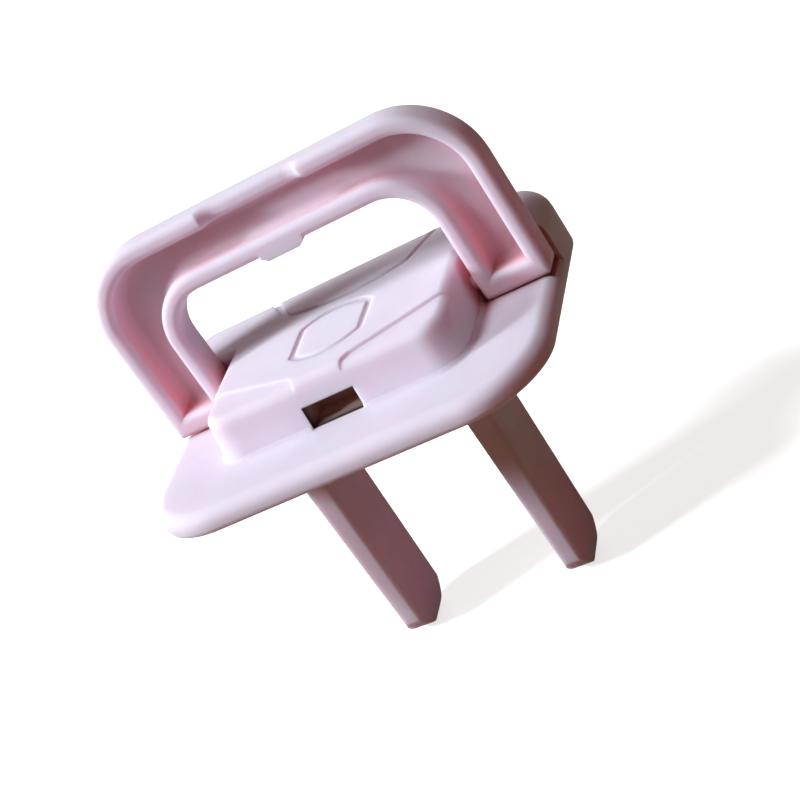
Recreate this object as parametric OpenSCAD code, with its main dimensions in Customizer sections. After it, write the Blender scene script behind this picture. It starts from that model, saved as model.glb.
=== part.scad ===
// Two-blade outlet safety cover with a folding pull handle.
// The origin is midway between the blades on the face that lies on the outlet.
// The blades point along -Z, and the hinge line runs along X. The handle is
// drawn raised, and folds forward, towards -Y, over the front of the plate.

/* [Plate] */
// Width of the plate along the hinge line
plate_w = 29.7; // [28.6:0.1:33]
// Reach of the plate in front of the blades' centre plane
plate_front = 11.4; // [10.9:0.1:14]
// Reach of the plate behind the blades' centre plane
plate_back = 9.6; // [9:0.1:12]
// Thickness of the plate
plate_t = 1.65; // [1.4:0.05:2]
// Corner radius at the front of the plate
front_corner_r = 5.7; // [3:0.1:7]
// Corner radius at the back of the plate
back_corner_r = 3; // [2.4:0.1:4]
// Rounding of the plate's upper edge
plate_top_r = 0.9; // [0.3:0.05:0.9]
// Rounding of the plate's lower edge
plate_low_r = 0.45; // [0.1:0.05:0.45]

/* [Block and back bar] */
// Height of the block and of the bar above the outlet face
block_top = 4.95; // [4.6:0.05:5.6]
// Width of the block at its foot
block_w = 19.2; // [18:0.1:20]
// Reach of the block's foot in front of the blades' centre plane
block_front = 6.5; // [5.8:0.05:6.7]
// How far the block's faces lean in over their height
block_lean = 0.45; // [0:0.05:0.5]
// Corner radius of the block seen from above
block_corner_r = 2.4; // [2:0.1:4]
// Rounding of the block's upper edge
block_edge_r = 0.7; // [0.3:0.05:0.9]
// Rounding where the block meets the plate
block_foot_r = 0.25; // [0.1:0.05:0.3]
// Rounding of the back bar's outer upper edge
bar_edge_r = 1.9; // [0.8:0.1:2.1]
// Rounding of the back bar's upper edge beside the handle
bar_front_r = 0.4; // [0.1:0.05:0.6]
// Wall left round the wells under the block and the bar
skin_t = 1.2; // [0.9:0.05:1.4]

/* [Relief on the top] */
// How far the block's front corners lie below its top
step_depth = 0.22; // [0.1:0.02:0.35]
// Radius of the turn in the edge of each lowered corner
step_r = 1.2; // [0.4:0.1:2]
// Distance from the middle to a lowered corner
step_gap = 1.8; // [1:0.1:3]
// Distance from the blades' centre plane to a lowered corner at its inner end
step_front = 5.15; // [4:0.05:5.5]
// Distance from the blades' centre plane to a lowered corner along the block's side
step_side = 2; // [1:0.1:4]
// Width of the grooves
groove_w = 0.5; // [0.3:0.05:0.7]
// Depth of the grooves
groove_depth = 0.16; // [0.1:0.02:0.4]
// Width of the lens-shaped panel
lens_w = 5.3; // [4:0.1:7]
// Length of the lens-shaped panel from front to back
lens_len = 5.8; // [4.5:0.1:6.5]
// Radius of the lens's curved ends
lens_r = 3.7; // [3.6:0.1:6]
// Distance of the lens's middle in front of the blades' centre plane
lens_ahead = 0.2; // [-0.2:0.05:1]
// Width of the panel outlined on the back bar, at its front
tongue_w = 9.8; // [8:0.1:12]
// Width of the same panel at the plate's back edge
tongue_back_w = 14.8; // [12:0.1:18]
// Radius of the panel's curved front
tongue_r = 13; // [10:0.5:30]

/* [Blades] */
// Distance between the blades' centres
blade_pitch = 12.7; // [12.5:0.1:12.9]
// Width of a blade where it leaves the plate
blade_w = 6.3; // [6:0.05:6.5]
// Width of a blade at its tip
blade_tip_w = 5.9; // [5.5:0.05:6]
// Thickness of a blade where it leaves the plate
blade_t = 1.9; // [1.6:0.05:2.2]
// Thickness of a blade at its tip
blade_tip_t = 1.45; // [1.2:0.05:1.55]
// Length of a blade below the outlet face
blade_len = 18.4; // [15:0.1:20]
// Radius of a blade's rounded tip
blade_tip_r = 3.4; // [3.1:0.1:6]
// Rounding of a blade's long edges
blade_edge_r = 0.4; // [0.2:0.05:0.5]

/* [Handle] */
// Depth of the handle from its open rim to its back
handle_depth = 2.6; // [2.4:0.05:2.9]
// Thickness of the handle's inner and outer walls
handle_wall = 1.25; // [1.15:0.05:1.4]
// Thickness of the handle's back
handle_floor = 0.8; // [0.6:0.05:1]
// Outer corner radius of the handle
handle_corner_r = 5.5; // [4.5:0.1:7]
// Corner radius of the finger window
window_corner_r = 3; // [2:0.1:4]
// Rounding of the handle's outer back edge
handle_back_r = 0.85; // [0.3:0.05:0.95]
// Hollow rounding along the channel's floor
channel_r = 0.6; // [0.2:0.05:0.8]
// Rounding of the walls' rims
rim_r = 0.5; // [0.2:0.05:0.5]
// Height of the closed end of each leg
end_wall = 1.5; // [1.4:0.05:2]
// Length of the finger nick in the outer rim
nick_w = 7.8; // [6:0.1:12]
// How far the nick sets the rim back
nick_depth = 0.6; // [0.3:0.05:1]
// Radius of the nick's two ends
nick_r = 1.5; // [1:0.1:2.5]

/* [Hinge and latch] */
// Distance of the hinge axis behind the blades' centre plane
hinge_y = 1.55; // [1.4:0.05:1.8]
// Distance of the hinge axis behind the handle's open rim
hinge_in = 1.1; // [1:0.05:1.2]
// Length of each leg below the hinge axis
leg_drop = 1.15; // [1.05:0.05:1.2]
// Diameter of the hinge stubs
pin_d = 1; // [0.9:0.05:1.1]
// Length of a stub inside its leg
pin_in = 0.85; // [0.6:0.05:0.9]
// Width of the latch tab at its root
tab_w = 3.4; // [2.6:0.1:5]
// Thickness of the latch tab
tab_t = 0.4; // [0.3:0.05:0.6]
// Height of the latch slot
slot_h = 1.55; // [1.3:0.05:1.8]
// Depth of the latch slot
slot_depth = 2.7; // [1.5:0.1:3]

/* [Clearances] */
// Radial clearance of a stub in its hole
pin_clear = 0.05; // [0.02:0.01:0.1]
// Gap between the block and the handle's legs
side_gap = 0.25; // [0.15:0.05:0.4]
// Gap between a stub's end and the bottom of its hole
pin_end_gap = 0.15; // [0.1:0.01:0.2]
// Gap round a leg's foot in its pocket in the plate
foot_gap = 0.1; // [0.08:0.01:0.15]
// Gap between the block's edge and the crossbar as it swings past
swing_gap = 0.4; // [0.3:0.05:0.6]
// Gap between the block's foot and the crossbar of the folded handle
front_gap = 0.1; // [0.1:0.05:0.4]
// Gap between the block's edge and the latch tab as it swings past
tab_gap = 0.1; // [0.05:0.01:0.15]
// Gap at each side of the tab in the slot
tab_side_gap = 0.25; // [0.15:0.05:0.4]
// Gap between the raised handle and the back bar
bar_gap = 0.2; // [0.15:0.05:0.4]
// Gap between the folded handle and the plate
fold_gap = 0.1; // [0.05:0.05:0.3]
// Distance that the folded handle stays behind the plate's front edge
fold_inset = 0.05; // [0:0.05:0.5]

/* [Hidden] */
$fn = 48;
shell_pink = [0.905, 0.815, 0.885];
// Overshoot of a cut, and how deep joined solids reach into each other
over = 1;

plate_half = plate_w / 2;
block_half = block_w / 2;
block_lean_angle = atan(block_lean / (block_top - plate_t));

hinge_z = plate_t + fold_gap + hinge_in;
handle_back = hinge_y - hinge_in + handle_depth;
bar_front = handle_back + bar_gap;
bar_len = plate_back - bar_front;

// The handle in its own plane: heights count from the hinge axis
handle_reach = hinge_y + plate_front - fold_inset;
window_half = block_half + side_gap;
// Farthest point of the block's rounded front edge from the hinge axis
edge_sweep = norm([
    hinge_y + block_front - block_lean - block_edge_r,
    block_top - hinge_z - block_edge_r
]) + block_edge_r;
window_reach = max(edge_sweep + swing_gap, hinge_y + block_front + front_gap);
tab_reach = sqrt(pow(edge_sweep + tab_gap, 2) - pow(hinge_in - tab_t, 2));

// The leg's foot: small roundings in front and at its sides, and a large one behind
foot_front_r = 0.35;
foot_side_r = 0.6;
foot_back_flat = 0.1;
foot_back_r = handle_depth - hinge_in - foot_back_flat;
foot_sweep = norm([hinge_in - foot_front_r, leg_drop - foot_front_r]) + foot_front_r;
// The pocket's depth and run are whole hundredths, so its faces meet the bar's exactly
pocket_floor = floor(100 * (hinge_z - foot_sweep - foot_gap)) / 100;
foot_run = sqrt(max(0, pow(foot_sweep, 2) - pow(hinge_z - plate_t, 2)));
pocket_run = ceil(100 * (foot_run + foot_gap)) / 100;

// Extrudes an outline drawn in Y and Z along X
module along_x(from, to) {
    translate([from, 0, 0])
        rotate([90, 0, 90])
            linear_extrude(to - from)
                children();
}

// Extrudes an outline drawn in X and Z along Y
module along_y(from, to) {
    translate([0, to, 0])
        rotate([90, 0, 0])
            linear_extrude(to - from)
                children();
}

module both_sides() {
    for (side = [0, 1])
        mirror([side, 0, 0])
            children();
}

// What a rounding removes from a corner at the origin; the solid lies in -X and -Y
module corner_cut(r) {
    difference() {
        translate([-r, -r])
            square(r + over);
        translate([-r, -r])
            circle(r);
    }
}

// Gives the section drawn by its children the reach it needs
module with_reach(reach) {
    $reach = reach;
    children();
}

// Section of a moulded edge, from X = 0 out to $reach at its foot
module edge_section(low, high, low_r, high_r, lean_angle = 0) {
    outward = [cos(lean_angle), sin(lean_angle)];
    face_at = function (z) $reach - (z - low) * tan(lean_angle);
    high_c = [face_at(high - high_r) - high_r / cos(lean_angle), high - high_r];
    low_c = [face_at(low + low_r) - low_r / cos(lean_angle), low + low_r];
    low_points = low_r > 0
        ? [[low_c.x, low], low_c, low_c + low_r * outward]
        : [[$reach, low]];
    high_points = [high_c + high_r * outward, high_c, [high_c.x, high]];
    polygon(concat([[0, low]], low_points, high_points, [[0, high]]));
    intersection() {
        union() {
            translate(high_c)
                circle(high_r);
            if (low_r > 0)
                translate(low_c)
                    circle(low_r);
        }
        translate([0, low])
            square([$reach, high - low]);
    }
}

// Runs the section round a pad's outline; a back radius of 0 leaves its back square
module pad(half_w, front, back, front_r, back_r) {
    both_sides() {
        along_y(front_r - front, back - back_r)
            with_reach(half_w)
                children();
        translate([half_w - front_r, front_r - front, 0])
            rotate([0, 0, -90])
                rotate_extrude(angle = 90)
                    with_reach(front_r)
                        children();
        if (back_r > 0)
            translate([half_w - back_r, back - back_r, 0])
                rotate_extrude(angle = 90)
                    with_reach(back_r)
                        children();
    }
    translate([0, front_r - front, 0])
        mirror([0, 1, 0])
            along_x(front_r - half_w, half_w - front_r)
                with_reach(front_r)
                    children();
    if (back_r > 0)
        translate([0, back - back_r, 0])
            along_x(back_r - half_w, half_w - back_r)
                with_reach(back_r)
                    children();
}

module plate() {
    pad(plate_half, plate_front, plate_back, front_corner_r, back_corner_r)
        edge_section(0, plate_t, plate_low_r, plate_top_r);
}

// The full-width bar behind the hinge, or the same form with its skin set in
module back_bar(low, inset = 0) {
    top = block_top - inset;
    intersection() {
        pad(plate_half - inset, plate_front, plate_back - inset, front_corner_r, back_corner_r - inset)
            edge_section(low, top, low > 0 ? 0 : plate_low_r, bar_edge_r - inset);
        along_x(-plate_w, plate_w)
            difference() {
                translate([bar_front + inset, low - over])
                    square([bar_len + over, top - low + 2 * over]);
                translate([bar_front + inset, top])
                    rotate(90)
                        corner_cut(bar_front_r);
            }
    }
}

// The block's rounded form up to the given height
module block_form(top, inset = 0) {
    pad(block_half - inset, block_front - inset, bar_front + over, block_corner_r - inset, 0)
        edge_section(plate_t - over / 2, top, 0, block_edge_r, block_lean_angle);
}

// The small hollow rounding between the block and the plate
module block_foot() {
    pad(block_half, block_front, bar_front + over, block_corner_r, 0)
        difference() {
            translate([0, plate_t - over / 2])
                square([$reach + block_foot_r, block_foot_r + over / 2]);
            translate([$reach + block_foot_r, plate_t + block_foot_r])
                circle(block_foot_r);
        }
}

// Outline of the lowered area at the block's right front corner
module lowered_corner() {
    slope = atan((step_front - step_side) / (block_half - step_gap));
    line_y = function (x) (x - step_gap) * tan(slope) - step_front;
    turn = [step_gap + step_r, line_y(step_gap + step_r) - step_r / cos(slope)];
    turn_over = 0.01;
    outer_x = block_half + over;
    front_y = -block_front - over;
    polygon([
        [step_gap, front_y],
        [outer_x, front_y],
        [outer_x, line_y(outer_x)],
        turn + step_r * [-sin(slope), cos(slope)],
        turn,
        [step_gap, turn.y]
    ]);
    translate(turn)
        circle(step_r + turn_over);
}

// The lens with its outline moved out by the given distance
module lens(grow) {
    end_shift = lens_len / 2 - lens_r;
    intersection() {
        square([lens_w + 2 * grow, lens_len + 2 * grow], center = true);
        translate([0, end_shift])
            circle(lens_r + grow);
        translate([0, -end_shift])
            circle(lens_r + grow);
    }
}

// The panel on the back bar with its outline moved out by the given distance
module tongue(grow) {
    front = bar_front + bar_front_r + groove_w;
    corner_y = front + tongue_r - sqrt(pow(tongue_r, 2) - pow(tongue_w / 2, 2));
    flare = (tongue_back_w - tongue_w) / 2 / (plate_back - corner_y);
    side_grow = grow * norm([1, flare]);
    side_x = function (y) tongue_w / 2 + flare * (y - corner_y) + side_grow;
    low = front - over;
    high = plate_back + over;
    intersection() {
        polygon([[-side_x(low), low], [side_x(low), low], [side_x(high), high], [-side_x(high), high]]);
        translate([0, front + tongue_r])
            circle(tongue_r + grow, $fn = 144);
    }
}

module top_grooves() {
    translate([0, -lens_ahead, block_top - groove_depth])
        linear_extrude(over)
            difference() {
                lens(groove_w / 2);
                lens(-groove_w / 2);
            }
    translate([0, 0, block_top - bar_edge_r])
        linear_extrude(bar_edge_r + over)
            difference() {
                tongue(groove_w / 2);
                tongue(-groove_w / 2);
            }
}

// The block and the bar with the relief on their top
module raised_top() {
    panel_inset = 0.03;
    difference() {
        union() {
            back_bar(0);
            block_form(block_top - step_depth);
            difference() {
                block_form(block_top, panel_inset);
                both_sides()
                    translate([0, 0, block_top - block_edge_r - step_depth])
                        linear_extrude(block_edge_r + step_depth + over)
                            lowered_corner();
            }
        }
        top_grooves();
    }
    back_bar(plate_t, groove_depth);
    block_foot();
}

module round_rect(low, high, r) {
    translate([low.x + r, low.y])
        square([high.x - low.x - 2 * r, high.y - low.y]);
    translate([low.x, low.y + r])
        square([high.x - low.x, high.y - low.y - 2 * r]);
    for (x = [low.x + r, high.x - r])
        for (y = [low.y + r, high.y - r])
            translate([x, y])
                circle(r);
}

// Moulded wells under the block and the bar; solid ribs stay above the blades
module underside_wells() {
    well_half = blade_pitch / 2 - blade_t / 2 - skin_t;
    well_front = block_front - slot_depth - skin_t;
    well_back = plate_back - skin_t;
    well_r = back_corner_r - skin_t;
    middle_r = 0.8;
    side_low = [well_half + skin_t, blade_w / 2 + skin_t];
    translate([0, 0, -over])
        linear_extrude(block_top - skin_t + over) {
            round_rect([-well_half, -well_front], [well_half, well_back], middle_r);
            both_sides()
                round_rect(side_low, [plate_half - skin_t, well_back], well_r);
        }
}

module latch_slot() {
    slot_w = tab_w + 2 * tab_side_gap;
    translate([-slot_w / 2, -block_front - over, plate_t])
        cube([slot_w, slot_depth + over, slot_h]);
}

// Shallow pockets in the plate that clear the legs' feet as they turn
module hinge_pockets() {
    both_sides()
        translate([block_half, hinge_y - pocket_run, pocket_floor])
            cube([plate_half, bar_front - hinge_y + pocket_run, plate_t + block_foot_r - pocket_floor]);
}

module hinge_pins() {
    chamfer = 0.2;
    pin_end = window_half + pin_in;
    both_sides()
        translate([0, hinge_y, hinge_z])
            rotate([0, 90, 0]) {
                translate([0, 0, block_half - over])
                    cylinder(h = pin_end - chamfer - block_half + over, d = pin_d);
                translate([0, 0, pin_end - chamfer])
                    cylinder(h = chamfer, d1 = pin_d, d2 = pin_d - 2 * chamfer);
            }
}

// One tapered blade, pointing down, with a rounded tip
module blade() {
    root = over;
    r = blade_edge_r;
    taper = [blade_tip_t / blade_t, blade_tip_w / blade_w];
    intersection() {
        translate([0, 0, root])
            mirror([0, 0, 1])
                linear_extrude(blade_len + root, slices = 1, scale = taper)
                    round_rect([-blade_t / 2, -blade_w / 2], [blade_t / 2, blade_w / 2], r);
        along_x(-blade_t, blade_t)
            translate([0, blade_tip_r - blade_len]) {
                circle(blade_tip_r, $fn = 96);
                translate([-blade_tip_r, 0])
                    square([2 * blade_tip_r, blade_len - blade_tip_r + 2 * root]);
            }
        along_y(-blade_w, blade_w)
            difference() {
                translate([-blade_t, -blade_len])
                    square([2 * blade_t, blade_len + 2 * root]);
                for (side = [0, 1])
                    mirror([side, 0])
                        translate([blade_tip_t / 2, -blade_len])
                            rotate(-90)
                                corner_cut(r);
            }
    }
}

module cover_base() {
    color(shell_pink)
        union() {
            difference() {
                union() {
                    plate();
                    raised_top();
                }
                underside_wells();
                latch_slot();
                hinge_pockets();
            }
            for (side = [-1, 1])
                translate([side * blade_pitch / 2, 0, 0])
                    blade();
            hinge_pins();
        }
}

// The handle's modules lie flat on its back: X across, Y up from the hinge
// axis, and Z from the back to the open rim.

// Runs a wall's section up a leg, round a corner and along the crossbar
module u_run(half_w, top, corner_r) {
    both_sides()
        translate([half_w - corner_r, top - corner_r, 0]) {
            rotate_extrude(angle = 90)
                children();
            rotate([90, 0, 0])
                linear_extrude(top - corner_r + leg_drop)
                    children();
        }
    translate([0, top - corner_r, 0])
        along_x(corner_r - half_w, half_w - corner_r)
            children();
}

// The hollow rounding between a wall at X = 0 and the channel's floor
module channel_fillet() {
    translate([0, handle_floor])
        difference() {
            translate([-over / 2, -over / 2])
                square(channel_r + over / 2);
            translate([channel_r, channel_r])
                circle(channel_r);
        }
}

// Section of the outer wall; its outer face is at X = face
module outer_section(face, rim) {
    difference() {
        translate([face - handle_wall, 0])
            square([handle_wall, rim]);
        translate([face, rim])
            corner_cut(rim_r);
        translate([face - handle_wall, rim])
            rotate(90)
                corner_cut(rim_r);
        translate([face, 0])
            rotate(-90)
                corner_cut(handle_back_r);
    }
    translate([face - handle_wall, 0])
        mirror([1, 0])
            channel_fillet();
}

// Section of the inner wall; its window face is at X = face
module inner_section(face) {
    difference() {
        translate([face, 0])
            square([handle_wall, handle_depth]);
        translate([face + handle_wall, handle_depth])
            corner_cut(rim_r);
        translate([face, handle_depth])
            rotate(90)
                corner_cut(rim_r);
        translate([face, 0])
            rotate(180)
                corner_cut(handle_back_r / 2);
    }
    translate([face + handle_wall, 0])
        channel_fillet();
}

// Outline of a U that is open below the legs
module u_outline(half_w, top, corner_r) {
    translate([-half_w, -leg_drop])
        square([2 * half_w, leg_drop + top - corner_r]);
    translate([corner_r - half_w, -leg_drop])
        square([2 * (half_w - corner_r), leg_drop + top]);
    for (side = [-1, 1])
        translate([side * (half_w - corner_r), top - corner_r])
            circle(corner_r);
}

module handle_back_wall() {
    outer_in = (handle_wall + handle_back_r) / 2;
    inner_in = (handle_wall + handle_back_r / 2) / 2;
    window_r = window_corner_r + inner_in;
    linear_extrude(handle_floor)
        difference() {
            u_outline(plate_half - outer_in, handle_reach - outer_in, handle_corner_r - outer_in);
            translate([0, -over])
                u_outline(window_half + inner_in, window_reach + inner_in + over, window_r);
        }
}

// Section of what the finger nick takes away: X is the distance below the
// middle of its rounded ends, and Y runs up the handle
module nick_section() {
    wall_in = handle_reach - handle_wall;
    difference() {
        translate([0, wall_in - over / 4])
            square([nick_r + rim_r, handle_wall + over / 2]);
        difference() {
            translate([nick_r, wall_in])
                square([over, handle_wall]);
            translate([nick_r, handle_reach])
                rotate(90)
                    corner_cut(rim_r);
            translate([nick_r, wall_in])
                rotate(180)
                    corner_cut(rim_r);
        }
    }
}

// What the finger nick takes off the outer rim of the crossbar
module nick_cut() {
    flat_half = nick_w / 2 - sqrt(pow(nick_r, 2) - pow(nick_r - nick_depth, 2));
    translate([0, 0, handle_depth - nick_depth + nick_r]) {
        translate([-flat_half, 0, 0])
            rotate([0, 90, 0])
                linear_extrude(2 * flat_half)
                    nick_section();
        both_sides()
            translate([flat_half, 0, 0])
                rotate([-90, 0, 0])
                    rotate_extrude(angle = 90)
                        nick_section();
    }
}

// The tab that catches in the block's slot when the handle is folded
module latch_tab() {
    tip_in = 0.5;
    tip_half = tab_w / 2 - tip_in;
    root_y = window_reach + handle_wall / 2;
    translate([0, 0, handle_depth - tab_t])
        linear_extrude(tab_t)
            polygon([
                [-tip_half, tab_reach],
                [tip_half, tab_reach],
                [tab_w / 2, window_reach],
                [tab_w / 2, root_y],
                [-tab_w / 2, root_y],
                [-tab_w / 2, window_reach]
            ]);
}

// The closed end of a leg
module leg_end() {
    along_x(window_half + handle_wall / 2, plate_half - handle_wall / 2) {
        difference() {
            translate([-leg_drop, 0])
                square([end_wall, handle_depth]);
            translate([end_wall - leg_drop, handle_depth])
                corner_cut(rim_r);
        }
        translate([end_wall - leg_drop, 0])
            channel_fillet();
    }
}

// Roundings at the foot of a leg, and the hole for its hinge stub
module leg_cuts() {
    along_x(window_half - over, plate_half + over) {
        translate([-leg_drop, handle_depth])
            rotate(90)
                corner_cut(foot_front_r);
        translate([-leg_drop, 0])
            rotate(180)
                corner_cut(foot_back_r);
    }
    translate([0, -leg_drop, -over])
        linear_extrude(handle_depth + 2 * over) {
            translate([plate_half, 0])
                rotate(-90)
                    corner_cut(foot_side_r);
            translate([window_half, 0])
                rotate(180)
                    corner_cut(foot_side_r);
        }
    translate([window_half - over, 0, handle_depth - hinge_in])
        rotate([0, 90, 0])
            cylinder(h = pin_in + pin_end_gap + over, r = pin_d / 2 + pin_clear);
}

module pull_handle() {
    color(shell_pink)
        translate([0, handle_back, hinge_z])
            rotate([90, 0, 0])
                difference() {
                    union() {
                        u_run(plate_half, handle_reach, handle_corner_r)
                            outer_section(handle_corner_r, handle_depth);
                        u_run(window_half, window_reach, window_corner_r)
                            inner_section(window_corner_r);
                        handle_back_wall();
                        latch_tab();
                        both_sides()
                            leg_end();
                    }
                    nick_cut();
                    both_sides()
                        leg_cuts();
                }
}

cover_base();
pull_handle();
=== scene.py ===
"""Outlet safety cover: finish, studio light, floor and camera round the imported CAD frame."""

import math

import bpy
from mathutils import Matrix, Vector


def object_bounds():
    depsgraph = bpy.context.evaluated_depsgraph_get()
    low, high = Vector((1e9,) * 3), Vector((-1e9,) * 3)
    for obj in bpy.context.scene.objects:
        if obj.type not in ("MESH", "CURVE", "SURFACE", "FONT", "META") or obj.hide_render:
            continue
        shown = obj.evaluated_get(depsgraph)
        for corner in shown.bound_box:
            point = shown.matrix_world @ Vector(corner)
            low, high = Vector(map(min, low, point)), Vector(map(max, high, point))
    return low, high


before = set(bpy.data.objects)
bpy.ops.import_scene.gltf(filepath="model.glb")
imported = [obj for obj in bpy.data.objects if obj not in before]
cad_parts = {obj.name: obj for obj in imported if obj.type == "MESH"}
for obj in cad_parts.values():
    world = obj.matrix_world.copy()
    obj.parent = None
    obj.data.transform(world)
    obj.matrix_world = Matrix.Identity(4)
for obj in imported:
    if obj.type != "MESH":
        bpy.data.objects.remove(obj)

MM = 0.001

# The camera of the photograph, in the frame's own axes
CAMERA_AT = Vector((50.91, -102.83, 46.22)) * MM
CAMERA_TARGET = Vector((1.23, -0.24, -1.79)) * MM
CAMERA_ROLL = math.radians(34.33)
CAMERA_LENS_MM = 84.05
SENSOR_MM = 36.0

# Colours are linear RGB
SHELL_COLOR = (0.815, 0.710, 0.805, 1.0)
# Painted shade: the rosy colours that the crevices of the cover and the handle are painted with
COVER_PAINTED_SHADE_COLOR = (0.680, 0.310, 0.345, 1.0)
HANDLE_PAINTED_SHADE_COLOR = (0.840, 0.440, 0.490, 1.0)
# Painted shade: the colours that the latch slot's inside is painted with, dark at the mouth and dim rose deeper
# in
SLOT_MOUTH_PAINTED_SHADE = (0.040, 0.024, 0.020, 1.0)
SLOT_DEPTH_PAINTED_SHADE = (0.620, 0.410, 0.370, 1.0)
FLOOR_WHITE = (0.90, 0.90, 0.90, 1.0)
FLOOR_NEAR = 120 * MM
FLOOR_FAR = 400 * MM
FLOOR_BOUNCE = (0.16, 0.075, 0.04, 1.0)
ROOM_COLOR = (0.48, 0.22, 0.12, 1.0)

# How open a spot is to the room, from 0 to 1, where the painted rosy shade is full and where it ends
COVER_PAINTED_SHADE_SPAN = (0.03, 0.36)
HANDLE_PAINTED_SHADE_SPAN = (0.15, 0.80)
# How much less open a corner of the cover or a leg of the handle counts, so that the painted shade there is
# stronger
CORNER_SHADE_BOOST = 0.35
LEG_SHADE_BOOST = 0.18

# Ramps of a coordinate in mm, from the value that gives 0 to the value that gives 1.
# Painted shade: the latch slot is painted darkest at its mouth, where the light reaches in, and a dim rose
# deeper in.
SLOT_SHADE_SPANS = (("side", 1.97, 1.95), ("Y", -6.45, -6.35), ("Y", -3.6, -3.7), ("Z", 1.62, 1.64), ("Z", 3.23, 3.21))
SLOT_DEPTH_SHADE_SPANS = SLOT_SHADE_SPANS + (("Y", -6.2, -5.0),)
# Painted shade: the rosy shade is painted stronger in the corner between the block, the plate and a leg's foot.
CORNER_SHADE_SPANS = (("side", 8.9, 9.3), ("Y", -5.0, 0.2), ("Y", 3.6, 3.3), ("Z", 5.2, 3.6))
# Painted shade and glow: the handle's channel is painted rosier towards the ends of its legs.
LEG_SHADE_SPANS = (("side", 8.0, 11.5), ("Z", 15.0, 5.0))


def new_material(name):
    """A node material and its Principled shader."""
    material = bpy.data.materials.new(name)
    material.use_nodes = True
    return material, material.node_tree.nodes["Principled BSDF"]


def add_node(tree, kind, **settings):
    """A shader node with its settings; a setting whose name is a socket sets that socket."""
    node = tree.nodes.new(kind)
    for key, value in settings.items():
        if key in node.inputs:
            node.inputs[key].default_value = value
        else:
            setattr(node, key, value)
    return node


def seen_directly(tree):
    """1 for rays that show the backdrop itself: straight, mirrored or through something clear."""
    path = add_node(tree, "ShaderNodeLightPath")
    seen = path.outputs["Is Camera Ray"]
    for ray in ("Is Glossy Ray", "Is Transmission Ray"):
        either = add_node(tree, "ShaderNodeMath", operation="MAXIMUM")
        tree.links.new(seen, either.inputs[0])
        tree.links.new(path.outputs[ray], either.inputs[1])
        seen = either.outputs["Value"]
    return seen


def region_mask(tree, coords, spans):
    """The product of ramps along the axes; side is the distance from the middle plane."""
    link = tree.links.new
    place = add_node(tree, "ShaderNodeSeparateXYZ")
    link(coords.outputs["Object"], place.inputs["Vector"])
    side = add_node(tree, "ShaderNodeMath", operation="ABSOLUTE")
    link(place.outputs["X"], side.inputs[0])
    axes = {"side": side.outputs["Value"], "Y": place.outputs["Y"], "Z": place.outputs["Z"]}
    mask = None
    for axis, empty, full in spans:
        ramp = add_node(tree, "ShaderNodeMapRange")
        ramp.inputs["From Min"].default_value = empty * MM
        ramp.inputs["From Max"].default_value = full * MM
        link(axes[axis], ramp.inputs["Value"])
        if mask is None:
            mask = ramp.outputs["Result"]
            continue
        product = add_node(tree, "ShaderNodeMath", operation="MULTIPLY")
        link(mask, product.inputs[0])
        link(ramp.outputs["Result"], product.inputs[1])
        mask = product.outputs["Value"]
    return mask


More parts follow.
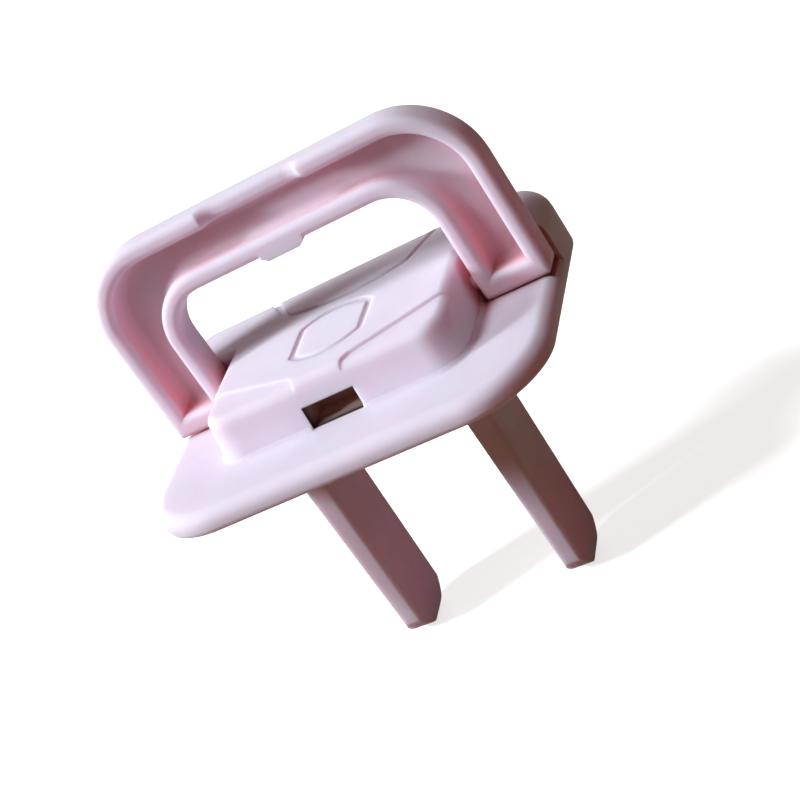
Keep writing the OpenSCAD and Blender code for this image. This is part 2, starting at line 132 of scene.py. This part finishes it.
def moulded_plastic(name, painted_shade_color, painted_shade_span, shade_boost, shade_boost_spans):
    """Satin pink polypropylene: faint mottling, a fine moulded skin, soft edges, painted rosy shade in the
    crevices and a painted dark latch slot.
    """
    material, shader = new_material(name)
    tree = material.node_tree
    link = tree.links.new
    coords = add_node(tree, "ShaderNodeTexCoord")

    # Painted shade and glow: the crevices are painted a deeper rose from ambient occlusion, in place of the
    # light that passes through the thin walls and the shade there
    crevice = add_node(tree, "ShaderNodeAmbientOcclusion", samples=16)
    crevice.inputs["Distance"].default_value = 3 * MM
    painted_shade_ramp = add_node(tree, "ShaderNodeValToRGB")
    painted_shade_ramp.color_ramp.elements[0].position = painted_shade_span[0]
    painted_shade_ramp.color_ramp.elements[0].color = painted_shade_color
    painted_shade_ramp.color_ramp.elements[1].position = painted_shade_span[1]
    painted_shade_ramp.color_ramp.elements[1].color = SHELL_COLOR
    # Painted shade: the marked corners and legs count as less open, so they are painted rosier
    shade_deepening = add_node(tree, "ShaderNodeMath", operation="MULTIPLY_ADD")
    link(region_mask(tree, coords, shade_boost_spans), shade_deepening.inputs[0])
    shade_deepening.inputs[1].default_value = -shade_boost
    link(crevice.outputs["AO"], shade_deepening.inputs[2])
    link(shade_deepening.outputs["Value"], painted_shade_ramp.inputs["Fac"])

    mottle = add_node(tree, "ShaderNodeTexNoise", Scale=260.0, Detail=3.0, Roughness=0.55)
    link(coords.outputs["Object"], mottle.inputs["Vector"])
    mottle_ramp = add_node(tree, "ShaderNodeValToRGB")
    mottle_ramp.color_ramp.elements[0].position = 0.3
    mottle_ramp.color_ramp.elements[0].color = (0.955, 0.935, 0.955, 1.0)
    mottle_ramp.color_ramp.elements[1].position = 0.7
    mottle_ramp.color_ramp.elements[1].color = (1.0, 1.0, 1.0, 1.0)
    link(mottle.outputs["Fac"], mottle_ramp.inputs["Fac"])
    tint = add_node(tree, "ShaderNodeMix", data_type="RGBA", blend_type="MULTIPLY")
    tint.inputs["Factor"].default_value = 1.0
    link(painted_shade_ramp.outputs["Color"], tint.inputs["A"])
    link(mottle_ramp.outputs["Color"], tint.inputs["B"])
    color = tint.outputs["Result"]
    # Painted shade: the latch slot is painted dark at its mouth, then a dim rose deeper in
    for slot_shade_color, spans in ((SLOT_MOUTH_PAINTED_SHADE, SLOT_SHADE_SPANS), (SLOT_DEPTH_PAINTED_SHADE, SLOT_DEPTH_SHADE_SPANS)):
        slot_shade = add_node(tree, "ShaderNodeMix", data_type="RGBA")
        slot_shade.inputs["B"].default_value = slot_shade_color
        link(region_mask(tree, coords, spans), slot_shade.inputs["Factor"])
        link(color, slot_shade.inputs["A"])
        color = slot_shade.outputs["Result"]
    link(color, shader.inputs["Base Color"])

    sheen = add_node(tree, "ShaderNodeTexNoise", Scale=900.0, Detail=4.0, Roughness=0.6)
    link(coords.outputs["Object"], sheen.inputs["Vector"])
    rough = add_node(tree, "ShaderNodeMapRange")
    rough.inputs["To Min"].default_value = 0.42
    rough.inputs["To Max"].default_value = 0.52
    link(sheen.outputs["Fac"], rough.inputs["Value"])
    link(rough.outputs["Result"], shader.inputs["Roughness"])

    soft_edge = add_node(tree, "ShaderNodeBevel", samples=6)
    soft_edge.inputs["Radius"].default_value = 0.2 * MM
    skin = add_node(tree, "ShaderNodeBump", Strength=0.12, Distance=0.02 * MM)
    link(sheen.outputs["Fac"], skin.inputs["Height"])
    link(soft_edge.outputs["Normal"], skin.inputs["Normal"])
    link(skin.outputs["Normal"], shader.inputs["Normal"])

    shader.inputs["IOR"].default_value = 1.49
    shader.inputs["Specular IOR Level"].default_value = 0.04
    shader.inputs["Subsurface Weight"].default_value = 0.7
    shader.inputs["Subsurface Radius"].default_value = (1.0, 0.5, 0.55)
    shader.inputs["Subsurface Scale"].default_value = 2.2 * MM
    return material


def white_floor():
    """A floor that the camera sees as white with the object's shadow, and that gives a dim warm bounce."""
    material, shader = new_material("studio_floor")
    tree = material.node_tree
    link = tree.links.new
    seen = seen_directly(tree)
    tone = add_node(tree, "ShaderNodeMix", data_type="RGBA")
    tone.inputs["A"].default_value = FLOOR_BOUNCE
    tone.inputs["B"].default_value = FLOOR_WHITE
    link(seen, tone.inputs["Factor"])
    link(tone.outputs["Result"], shader.inputs["Base Color"])
    shader.inputs["Roughness"].default_value = 0.9
    shader.inputs["Specular IOR Level"].default_value = 0.2
    # Away from the object, where the lamps fall off, the floor goes over into the white backdrop
    coords = add_node(tree, "ShaderNodeTexCoord")
    away = add_node(tree, "ShaderNodeVectorMath", operation="LENGTH")
    link(coords.outputs["Object"], away.inputs[0])
    level = add_node(tree, "ShaderNodeMapRange")
    level.inputs["From Min"].default_value = FLOOR_NEAR
    level.inputs["From Max"].default_value = FLOOR_FAR
    level.inputs["To Min"].default_value = 0.72
    level.inputs["To Max"].default_value = 1.0
    link(away.outputs["Value"], level.inputs["Value"])
    glow = add_node(tree, "ShaderNodeEmission", Color=(1, 1, 1, 1))
    strength = add_node(tree, "ShaderNodeMath", operation="MULTIPLY")
    link(seen, strength.inputs[0])
    link(level.outputs["Result"], strength.inputs[1])
    link(strength.outputs["Value"], glow.inputs["Strength"])
    both = add_node(tree, "ShaderNodeAddShader")
    link(shader.outputs["BSDF"], both.inputs[0])
    link(glow.outputs["Emission"], both.inputs[1])
    link(both.outputs["Shader"], tree.nodes["Material Output"].inputs["Surface"])
    return material


def make_camera():
    data = bpy.data.cameras.new("camera")
    data.sensor_width = SENSOR_MM
    data.lens = CAMERA_LENS_MM
    data.clip_start = 0.01
    data.clip_end = 10
    camera = bpy.data.objects.new("camera", data)
    bpy.context.scene.collection.objects.link(camera)
    look = (CAMERA_TARGET - CAMERA_AT).normalized()
    right = look.cross(Vector((0, 0, 1))).normalized()
    up = right.cross(look)
    rolled_up = up * math.cos(CAMERA_ROLL) + right * math.sin(CAMERA_ROLL)
    rolled_right = look.cross(rolled_up)
    turn = Matrix((rolled_right, rolled_up, -look)).transposed()
    camera.matrix_world = Matrix.Translation(CAMERA_AT) @ turn.to_4x4()
    bpy.context.scene.camera = camera


def add_area_light(name, at_mm, size_mm, power, color=(1, 1, 1)):
    """A soft square lamp at a place in millimetres, pointed at the object's middle."""
    data = bpy.data.lights.new(name, "AREA")
    data.size = size_mm * MM
    data.energy = power
    data.color = color
    lamp = bpy.data.objects.new(name, data)
    lamp.location = Vector(at_mm) * MM
    lamp.rotation_euler = (-lamp.location).to_track_quat("-Z", "Y").to_euler()
    bpy.context.scene.collection.objects.link(lamp)


def make_light():
    add_area_light("key", (-560, -250, 320), 120, 4.5, (0.84, 0.94, 1.0))
    add_area_light("overhead", (-230, -220, 560), 160, 2.5, (0.84, 0.94, 1.0))
    add_area_light("back", (-120, 600, 330), 300, 0.7, (0.90, 0.95, 1.0))
    world = bpy.data.worlds.new("studio")
    world.use_nodes = True
    tree = world.node_tree
    background = tree.nodes["Background"]
    background.inputs["Color"].default_value = ROOM_COLOR
    background.inputs["Strength"].default_value = 0.15
    backdrop = add_node(tree, "ShaderNodeBackground", Color=(1, 1, 1, 1), Strength=1.0)
    mix = add_node(tree, "ShaderNodeMixShader")
    tree.links.new(seen_directly(tree), mix.inputs["Fac"])
    tree.links.new(background.outputs["Background"], mix.inputs[1])
    tree.links.new(backdrop.outputs["Background"], mix.inputs[2])
    tree.links.new(mix.outputs["Shader"], tree.nodes["World Output"].inputs["Surface"])
    bpy.context.scene.world = world


def make_floor(below):
    bpy.ops.mesh.primitive_plane_add(size=4.0, location=(0, 0, below))
    floor = bpy.context.object
    floor.name = "floor"
    floor.data.materials.append(white_floor())


cad_low, cad_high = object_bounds()
make_camera()
make_light()
make_floor(cad_low.z)
finishes = {
    "cover_base": moulded_plastic(
        "moulded_pink_cover", COVER_PAINTED_SHADE_COLOR, COVER_PAINTED_SHADE_SPAN, CORNER_SHADE_BOOST, CORNER_SHADE_SPANS
    ),
    "pull_handle": moulded_plastic(
        "moulded_pink_handle", HANDLE_PAINTED_SHADE_COLOR, HANDLE_PAINTED_SHADE_SPAN, LEG_SHADE_BOOST, LEG_SHADE_SPANS
    ),
}
for name, finish in finishes.items():
    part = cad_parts[name]
    part.data.materials.clear()
    part.data.materials.append(finish)
bpy.context.scene.view_settings.view_transform = "Standard"
